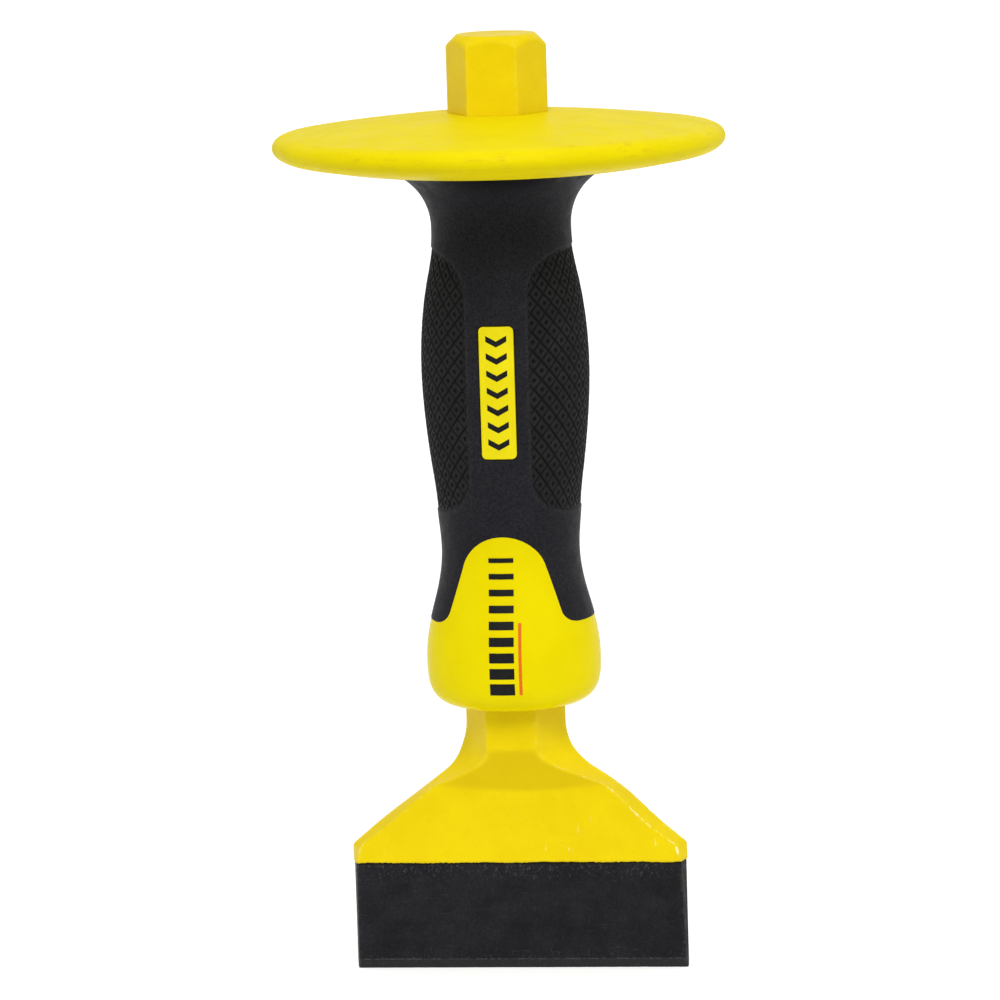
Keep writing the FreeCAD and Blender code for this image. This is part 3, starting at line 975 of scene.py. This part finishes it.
BADGE_INK = (-0.3, -0.035)  # the prints' low and high side, against the grip's surface
BULB_INK = (-0.2, 0.02)
CHEVRON_GRID = (8, 5)  # cells across and up
BAR_GRID = (18, 8)
STRIPE_GRID = (4, 60)


def mark_block(corners, count_x, count_z, low, high):
    """A thin block on the grip over a four-cornered area, given as (x, z) corners in order."""
    a, b, c, d = [np.array(p, float) for p in corners]
    points = []
    for lift in (high, low):
        for i in range(count_z + 1):
            for j in range(count_x + 1):
                s, t = j / count_x, i / count_z
                x, z = (a * (1 - s) + b * s) * (1 - t) + (d * (1 - s) + c * s) * t
                points.append(grip_point(turn_at(x, z), z, lift))
    wide = count_x + 1
    layer = wide * (count_z + 1)
    faces = []
    for i in range(count_z):
        for j in range(count_x):
            k = i * wide + j
            faces.append((k, k + 1, k + 1 + wide, k + wide))
            faces.append((layer + k, layer + k + wide, layer + k + 1 + wide, layer + k + 1))
    rim = list(range(wide))
    rim += [i * wide + count_x for i in range(1, count_z + 1)]
    rim += [count_z * wide + j for j in range(count_x - 1, -1, -1)]
    rim += [i * wide for i in range(count_z - 1, 0, -1)]
    for k, v in enumerate(rim):
        w = rim[(k + 1) % len(rim)]
        faces.append((w, v, v + layer, w + layer))
    return np.array(points), faces


def make_marks(name, blocks, low, high, material, slot, node):
    """Printed marks of one colour: each block is (corners, cells across, cells up)."""
    points, faces = [], []
    for corners, across, up in blocks:
        more, its_faces = mark_block(corners, across, up, low, high)
        start = sum(len(p) for p in points)
        points.append(more)
        faces += [tuple(v + start for v in f) for f in its_faces]
    new_piece(name, np.concatenate(points), faces, material, slot, node, smooth=False)


def make_badge_print(material):
    bottom, top = BADGE_LOW[2], BADGE_HIGH[2]
    pitch = (top - bottom - 2 * BADGE_MARGIN) / CHEVRONS
    blocks = []
    for i in range(CHEVRONS):
        tip = bottom + BADGE_MARGIN + (i + 0.5) * pitch - (CHEVRON_RISE + CHEVRON_BAR) / 2
        for side in (-1, 1):
            out = side * CHEVRON_HALF_W
            inner = [(0, tip), (0, tip + CHEVRON_BAR)]
            outer = [(out, tip + CHEVRON_RISE), (out, tip + CHEVRON_RISE + CHEVRON_BAR)]
            if side > 0:
                corners = (inner[0], outer[0], outer[1], inner[1])
            else:
                corners = (outer[0], inner[0], inner[1], outer[1])
            blocks.append((corners, *CHEVRON_GRID))
    make_marks("badge_marks", blocks, *BADGE_INK, material, "print_black", "badge_print")


def bar_corners(x, z):
    """The corners of a rectangle from its (low, high) x and z, in order round it."""
    return ((x[0], z[0]), (x[1], z[0]), (x[1], z[1]), (x[0], z[1]))


def make_bulb_bars(material):
    pitch = (BARS_TOP - BARS_LOW[2]) / BARS
    blocks = []
    for i in range(BARS):
        low = BARS_LOW[2] + i * pitch
        high = low + pitch * (BAR_SHARE - BAR_SHRINK * i)
        blocks.append((bar_corners(BARS_X, (low, high)), *BAR_GRID))
    make_marks("bulb_bars", blocks, *BULB_INK, material, "print_black", "bulb_print_bars")


def make_stripe(material):
    blocks = [(bar_corners(STRIPE_X, STRIPE_Z), *STRIPE_GRID)]
    make_marks("bulb_stripe", blocks, *BULB_INK, material, "print_orange", "bulb_print_stripe")


# ---------------------------------------------------------------- materials


class Shader:
    """Builds one node material; sizes are in millimetres and patterns run from 0 to 1."""

    def __init__(self, name):
        self.material = bpy.data.materials.new(name)
        self.material.use_nodes = True
        self.tree = self.material.node_tree
        self.base = self.tree.nodes["Principled BSDF"]
        place = self.add("ShaderNodeTexCoord").outputs["Object"]
        self.mm = self.add("ShaderNodeVectorMath", operation="SCALE")
        self.tree.links.new(place, self.mm.inputs[0])
        self.mm.inputs["Scale"].default_value = 1000.0
        self.mm = self.mm.outputs[0]

    def add(self, kind, **settings):
        made = self.tree.nodes.new(kind)
        for key, value in settings.items():
            setattr(made, key, value)
        return made

    def put(self, target, value):
        if isinstance(value, bpy.types.NodeSocket):
            self.tree.links.new(value, target)
        else:
            target.default_value = value

    def stretched(self, scale):
        """The place in millimetres, with each axis scaled."""
        made = self.add("ShaderNodeVectorMath", operation="MULTIPLY")
        self.put(made.inputs[0], self.mm)
        made.inputs[1].default_value = scale
        return made.outputs[0]

    def noise(self, size, detail=3.0, rough=0.55, stretch=None, distort=0.0):
        """Noise from 0 to 1 whose lumps are about size millimetres."""
        made = self.add("ShaderNodeTexNoise")
        self.put(made.inputs["Vector"], self.stretched(stretch) if stretch else self.mm)
        made.inputs["Scale"].default_value = 1.0 / size
        made.inputs["Detail"].default_value = detail
        made.inputs["Roughness"].default_value = rough
        made.inputs["Distortion"].default_value = distort
        return made.outputs["Fac"]

    def ramp(self, value, low, high, out_low=0.0, out_high=1.0):
        """The value, taken smoothly from low..high to out_low..out_high."""
        made = self.add("ShaderNodeMapRange", interpolation_type="SMOOTHSTEP")
        self.put(made.inputs["Value"], value)
        made.inputs["From Min"].default_value = low
        made.inputs["From Max"].default_value = high
        made.inputs["To Min"].default_value = out_low
        made.inputs["To Max"].default_value = out_high
        return made.outputs["Result"]

    def maths(self, operation, a, b=0.0):
        made = self.add("ShaderNodeMath", operation=operation)
        self.put(made.inputs[0], a)
        self.put(made.inputs[1], b)
        return made.outputs[0]

    def product(self, first, *others):
        for other in others:
            first = self.maths("MULTIPLY", first, other)
        return first

    def attribute(self, name):
        return self.add("ShaderNodeAttribute", attribute_name=name).outputs["Fac"]

    def axis(self, name):
        """The place along X, Y or Z, in millimetres."""
        split = self.add("ShaderNodeSeparateXYZ")
        self.put(split.inputs[0], self.mm)
        return split.outputs[name]

    def mix(self, share, a, b):
        made = self.add("ShaderNodeMix", data_type="RGBA")
        self.put(made.inputs[0], share)
        self.put(made.inputs[6], a)
        self.put(made.inputs[7], b)
        return made.outputs[2]

    def tint(self, colour, where, amount, other):
        """The colour, taken by an amount towards another one where a pattern is 1."""
        return self.mix(self.product(where, amount), colour, other)

    def clouds(self, size, detail, dark, light):
        """Two shades in soft patches of about size millimetres."""
        return self.mix(self.ramp(self.noise(size, detail), 0.3, 0.7), dark, light)

    def drift(self, size, detail, low, high):
        """A value which drifts softly from low to high and back."""
        return self.ramp(self.noise(size, detail), 0.3, 0.7, low, high)

    def bump(self, height, depth, before=None):
        """A bump whose height runs over depth millimetres."""
        made = self.add("ShaderNodeBump")
        made.inputs["Strength"].default_value = 1.0
        made.inputs["Distance"].default_value = depth * MM
        self.put(made.inputs["Height"], height)
        if before is not None:
            self.put(made.inputs["Normal"], before)
        return made.outputs[0]

    def finish(self, colour, roughness, normal, gloss):
        self.put(self.base.inputs["Base Color"], colour)
        self.put(self.base.inputs["Roughness"], roughness)
        self.put(self.base.inputs["Normal"], normal)
        self.base.inputs["Specular IOR Level"].default_value = gloss
        return self.material


def rgb(r, g, b):
    return (r, g, b, 1.0)


def coat_paint():
    s = Shader("coat_paint")
    height, right, edge = s.axis("Z"), s.axis("X"), s.attribute("edge")
    colour = s.clouds(9.0, 4.0, rgb(0.79, 0.593, 0.002), rgb(0.835, 0.64, 0.003))
    fine = s.ramp(s.noise(0.5, 4.0, 0.7), 0.45, 0.75)
    colour = s.tint(colour, fine, 0.35, rgb(0.74, 0.54, 0.004))
    # painted shade: the slope between neck and blade is darkened for the shade its downward tilt gets
    colour = s.tint(colour, s.attribute("slope"), 0.55, rgb(0.66, 0.46, 0.002))
    grime = s.ramp(s.noise(2.2, 5.0, 0.65), 0.58, 0.8)
    colour = s.tint(colour, grime, 0.3, rgb(0.62, 0.44, 0.012))
    # wear and painted highlight: the rounded edges turn pale in patches
    wear_and_highlight = s.product(edge, s.ramp(s.noise(1.3, 4.0, 0.7), 0.42, 0.62))
    colour = s.tint(colour, wear_and_highlight, 0.3, rgb(0.90, 0.77, 0.10))
    # painted glints: pale flecks along the bevels of the shoulders, more of them on the +X side
    flecks = s.ramp(s.noise(2.6, 6.0, 0.72), 0.5, 0.62)
    near_shoulder = s.ramp(height, 52.0, 36.0)
    painted_glints = s.product(flecks, s.ramp(edge, 0.3, 0.75), near_shoulder, s.ramp(right, -10.0, 15.0, 0.25, 1.0))
    colour = s.mix(painted_glints, colour, rgb(0.93, 0.89, 0.45))
    # a few upright scuffs low on the same side
    scuffs = s.ramp(s.noise(1.3, 3.0, 0.6, stretch=(1.0, 1.0, 0.3)), 0.66, 0.74)
    scuffs = s.product(scuffs, s.ramp(right, 0.0, 14.0, 0.1, 0.6), s.ramp(height, 40.0, 32.0))
    colour = s.mix(scuffs, colour, rgb(0.92, 0.84, 0.25))
    rim = s.ramp(height, PAINT_END + 0.9, PAINT_END - 0.3)
    colour = s.tint(colour, rim, 0.35, rgb(0.5, 0.36, 0.02))
    peel = s.bump(s.noise(1.1, 2.0), 0.018)
    grain = s.bump(s.noise(0.3, 3.0), 0.01, peel)
    return s.finish(colour, s.drift(3.0, 4.0, 0.3, 0.46), grain, 0.045)


def guard_plastic():
    s = Shader("guard_plastic")
    colour = s.clouds(14.0, 4.0, rgb(0.795, 0.645, 0.001), rgb(0.825, 0.68, 0.0015))
    fine = s.ramp(s.noise(0.5, 4.0, 0.7), 0.45, 0.75)
    colour = s.tint(colour, fine, 0.3, rgb(0.74, 0.58, 0.003))
    scuffs = s.ramp(s.noise(2.5, 6.0, 0.7, stretch=(0.5, 0.5, 2.0)), 0.52, 0.75)
    colour = s.tint(colour, s.product(s.attribute("edge"), scuffs), 0.55, rgb(0.66, 0.45, 0.01))
    lumps = s.bump(s.noise(6.0, 2.0), 0.03)
    grain = s.bump(s.noise(0.35, 3.0), 0.008, lumps)
    return s.finish(colour, s.drift(5.0, 5.0, 0.4, 0.55), grain, 0.03)


def core_plastic():
    s = Shader("core_plastic")
    colour = s.clouds(12.0, 3.0, rgb(0.79, 0.65, 0.001), rgb(0.825, 0.69, 0.0015))
    specks = s.ramp(s.noise(0.45, 2.0), 0.72, 0.8)
    colour = s.tint(colour, specks, 0.25, rgb(0.6, 0.45, 0.02))
    grain = s.bump(s.noise(0.9, 2.0), 0.0015)
    return s.finish(colour, s.drift(4.0, 4.0, 0.22, 0.32), grain, 0.022)


def soft_rubber():
    s = Shader("soft_rubber")
    colour = s.clouds(8.0, 4.0, rgb(0.0185, 0.0185, 0.0225), rgb(0.0225, 0.0225, 0.027))
    # painted highlight: the lips of the windows are made paler
    colour = s.tint(colour, s.attribute("tone"), 0.5, rgb(0.036, 0.036, 0.039))
    # painted shadow: the rubber turns near black just under the guard
    under_guard_shadow = s.ramp(s.axis("Z"), 179.5, 185.8)
    colour = s.mix(under_guard_shadow, colour, rgb(0.004, 0.004, 0.0045))
    fine = s.ramp(s.noise(0.5, 3.0, 0.7), 0.42, 0.6)
    colour = s.tint(colour, fine, 0.7, rgb(0.009, 0.009, 0.0115))
    dust = s.ramp(s.noise(0.6, 5.0, 0.75), 0.6, 0.72)
    colour = s.tint(colour, dust, 0.5, rgb(0.06, 0.06, 0.062))
    grain = s.bump(s.noise(0.4, 3.0, 0.6), 0.09)
    return s.finish(colour, s.drift(2.5, 5.0, 0.42, 0.56), grain, 0.05)


def panel_rubber():
    s = Shader("panel_rubber")
    ridge = s.clouds(6.0, 4.0, rgb(0.0125, 0.0125, 0.0135), rgb(0.0175, 0.0175, 0.0185))
    # dirt and painted shade: the grooves and pits are darker than the ridges
    colour = s.mix(s.attribute("tone"), rgb(0.0034, 0.0034, 0.0038), ridge)
    grain = s.bump(s.noise(0.25, 3.0, 0.6), 0.03)
    return s.finish(colour, s.drift(1.5, 5.0, 0.5, 0.66), grain, 0.1)


def badge_plastic():
    s = Shader("badge_plastic")
    colour = s.clouds(5.0, 3.0, rgb(0.80, 0.68, 0.006), rgb(0.85, 0.73, 0.009))
    grain = s.bump(s.noise(0.4, 2.0), 0.004)
    return s.finish(colour, s.drift(1.8, 4.0, 0.3, 0.4), grain, 0.06)


def print_ink(name, dark, light):
    s = Shader(name)
    colour = s.mix(s.ramp(s.noise(0.5, 4.0, 0.7), 0.35, 0.75), dark, light)
    grain = s.bump(s.noise(0.3, 2.0), 0.004)
    return s.finish(colour, s.drift(1.0, 3.0, 0.35, 0.5), grain, 0.1)


def blade_steel():
    s = Shader("blade_steel")
    height = s.axis("Z")
    colour = s.clouds(7.0, 5.0, rgb(0.0085, 0.0088, 0.0105), rgb(0.0155, 0.0158, 0.0195))
    smears = s.ramp(s.noise(10.0, 5.0, 0.6, stretch=(0.4, 1.0, 1.6)), 0.52, 0.75)
    colour = s.tint(colour, smears, 0.6, rgb(0.021, 0.022, 0.027))
    # fine scratches along the blade, and a few across it
    lengthways = s.ramp(s.noise(0.5, 4.0, 0.6, stretch=(0.06, 1.0, 1.0)), 0.60, 0.74)
    slanting = s.ramp(s.noise(0.4, 4.0, 0.6, stretch=(0.9, 1.0, 0.12), distort=0.6), 0.64, 0.76)
    marks = s.maths("MAXIMUM", lengthways, slanting)
    colour = s.tint(colour, marks, 0.5, rgb(0.04, 0.04, 0.045))
    fine = s.ramp(s.noise(0.5, 3.0, 0.7), 0.42, 0.6)
    colour = s.tint(colour, fine, 0.45, rgb(0.006, 0.006, 0.0075))
    # nicks, most of them just below the paint
    upper = s.ramp(height, PAINT_END - 5.5, PAINT_END - 0.5, 0.12, 1.0)
    lower = s.ramp(height, 6.0, 1.0, 0.0, 0.5)
    nicks = s.ramp(s.noise(0.55, 4.0, 0.75, stretch=(1.0, 1.0, 0.55), distort=0.8), 0.55, 0.66)
    nicks = s.product(nicks, s.maths("ADD", upper, lower))
    colour = s.tint(colour, nicks, 0.75, rgb(0.085, 0.085, 0.088))
    # the ground bevel, painted lighter for the light its facet catches, and a worn line along its upper
    # edge
    bevel = s.ramp(height, TIP_BEVEL + 0.1, TIP_BEVEL - 0.15)
    colour = s.tint(colour, bevel, 0.6, rgb(0.026, 0.026, 0.027))
    bevel_edge = s.ramp(s.maths("ABSOLUTE", s.maths("SUBTRACT", height, TIP_BEVEL)), 0.28, 0.05)
    bevel_edge = s.product(bevel_edge, s.ramp(s.noise(1.2, 4.0, 0.7), 0.4, 0.6, 0.1, 0.8))
    colour = s.mix(bevel_edge, colour, rgb(0.055, 0.055, 0.058))
    # wear and painted highlight: the rounded edges turn lighter in patches
    wear_and_highlight = s.product(s.attribute("edge"), s.ramp(s.noise(1.0, 4.0, 0.7), 0.45, 0.65, 0.0, 0.8))
    colour = s.mix(wear_and_highlight, colour, rgb(0.042, 0.042, 0.044))
    under_line = s.ramp(height, PAINT_END - 0.75, PAINT_END - 0.15)
    colour = s.tint(colour, under_line, 0.85, rgb(0.006, 0.005, 0.0015))
    rough = s.maths("SUBTRACT", s.drift(2.0, 5.0, 0.42, 0.6), s.product(marks, 0.12))
    grain = s.bump(s.noise(0.4, 4.0, 0.65), 0.035, s.bump(marks, 0.02))
    return s.finish(colour, rough, grain, 0.09)


def floor_paper():
    """A white sheet whose part behind and round the tool glows with painted light."""
    s = Shader("floor_paper")
    away = s.add("ShaderNodeVectorMath", operation="LENGTH")
    s.put(away.inputs[0], s.mm)
    behind = s.ramp(s.axis("Y"), -170.0, -45.0)
    far = s.ramp(away.outputs["Value"], 250.0, 1500.0)
    colour = s.mix(far, rgb(0.66, 0.66, 0.66), rgb(0.95, 0.95, 0.95))
    colour = s.mix(behind, rgb(0.62, 0.62, 0.62), colour)
    colour = s.tint(colour, s.noise(60.0, 3.0), 0.05, rgb(0.88, 0.88, 0.88))
    # painted light: the sheet glows behind and round the tool, so it stays white round the tool's shadow
    s.put(s.base.inputs["Emission Strength"], s.product(behind, 0.52))
    s.base.inputs["Emission Color"].default_value = rgb(1.0, 1.0, 1.0)
    return s.finish(colour, 0.9, s.bump(s.noise(1.5, 3.0), 0.01), 0.0)


# ---------------------------------------------------------------- stage


FLOOR_RADII = (9000.0, 4000.0, 1500.0, 500.0, 150.0)
FLOOR_COLUMNS = 96


def make_floor(material):
    """A round sheet, far wider than the camera sees."""
    rows = turned_rows([(r, 0.0) for r in FLOOR_RADII], FLOOR_COLUMNS)
    faces = ring_faces(len(rows), FLOOR_COLUMNS)
    middle = (len(rows) - 1) * FLOOR_COLUMNS
    faces.append(tuple(range(middle, middle + FLOOR_COLUMNS)))
    floor = new_mesh("floor", rows.reshape(-1, 3), faces, material)


# Lights and camera are placed in metres.
BRIGHT_WAY = (0.1, 0.75, 0.65)
WORLD_DIM, WORLD_BRIGHT = 0.24, 0.93


def make_world():
    """A white studio: bright above and behind, dimmer in front."""
    world = bpy.data.worlds.new("studio")
    bpy.context.scene.world = world
    world.use_nodes = True
    tree = world.node_tree
    shade = tree.nodes["Background"]
    way = tree.nodes.new("ShaderNodeTexCoord")
    along = tree.nodes.new("ShaderNodeVectorMath")
    along.operation = "DOT_PRODUCT"
    along.inputs[1].default_value = BRIGHT_WAY
    level = tree.nodes.new("ShaderNodeMapRange")
    level.inputs["From Min"].default_value = -0.6
    level.inputs["From Max"].default_value = 1.0
    level.inputs["To Min"].default_value = WORLD_DIM
    level.inputs["To Max"].default_value = WORLD_BRIGHT
    tree.links.new(way.outputs["Generated"], along.inputs[0])
    tree.links.new(along.outputs["Value"], level.inputs["Value"])
    tree.links.new(level.outputs["Result"], shade.inputs["Strength"])
    shade.inputs["Color"].default_value = (1, 1, 1, 1)


LIGHT_SIZE = 0.8
LIGHTS_AIM = (0, 0, 0.1)


def soft_light(name, place, power):
    """A round area light turned to the tool."""
    data = bpy.data.lights.new(name, "AREA")
    data.shape = "DISK"
    data.size = LIGHT_SIZE
    data.energy = power
    light = in_scene(name, data)
    away = (Vector(place) - Vector(LIGHTS_AIM)).normalized()
    light.matrix_world = Matrix.Translation(place) @ away.to_track_quat("Z", "Y").to_matrix().to_4x4()


CAMERA_DISTANCE = 1.5
CAMERA_TURN = math.radians(7.15)
CAMERA_RISE = math.radians(8.4)
CAMERA_ROLL = math.radians(1.74)
CAMERA_AIM = Vector((0, 0, 0.108))
VIEW_WIDTH = 0.22866  # of the tool's surroundings, at the aim
AIM_RIGHT = 0.00218  # how far the aim is to the right of the view's middle
AIM_BELOW = 0.00111  # and how far below it


def make_camera():
    data = bpy.data.cameras.new("camera")
    data.sensor_width = 36.0
    data.lens = data.sensor_width * CAMERA_DISTANCE / VIEW_WIDTH
    data.clip_end = 100.0
    camera = in_scene("camera", data)
    flat = math.cos(CAMERA_RISE)
    away = Vector((math.sin(CAMERA_TURN) * flat, -math.cos(CAMERA_TURN) * flat, math.sin(CAMERA_RISE)))
    right = Vector((0, 0, 1)).cross(away).normalized()
    up = away.cross(right)
    level_right, level_up = right, up
    right = level_right * math.cos(CAMERA_ROLL) - level_up * math.sin(CAMERA_ROLL)
    up = level_right * math.sin(CAMERA_ROLL) + level_up * math.cos(CAMERA_ROLL)
    place = CAMERA_AIM + away * CAMERA_DISTANCE - right * AIM_RIGHT + up * AIM_BELOW
    turn = Matrix((right, up, away)).transposed().to_4x4()
    camera.matrix_world = Matrix.Translation(place) @ turn
    bpy.context.scene.camera = camera


def make_stage():
    make_floor(floor_paper())
    make_world()
    soft_light("key", (0.2, -1.29, 1.25), 18.3)
    soft_light("fill", (-1.3, -0.7, 0.5), 0.8)
    make_camera()
    bpy.context.scene.view_settings.view_transform = "Standard"


def make_tool():
    make_steel(blade_steel())
    make_coat(coat_paint())
    make_guard(guard_plastic())
    make_core(core_plastic())
    make_overmould(soft_rubber())
    texture = panel_rubber()
    make_panel(1, texture)
    make_panel(-1, texture)
    make_badge(badge_plastic())
    black = print_ink("black_ink", rgb(0.009, 0.009, 0.009), rgb(0.016, 0.016, 0.016))
    make_badge_print(black)
    make_bulb_bars(black)
    make_stripe(print_ink("orange_ink", rgb(0.75, 0.13, 0.01), rgb(0.8, 0.2, 0.015)))


make_stage()
make_tool()
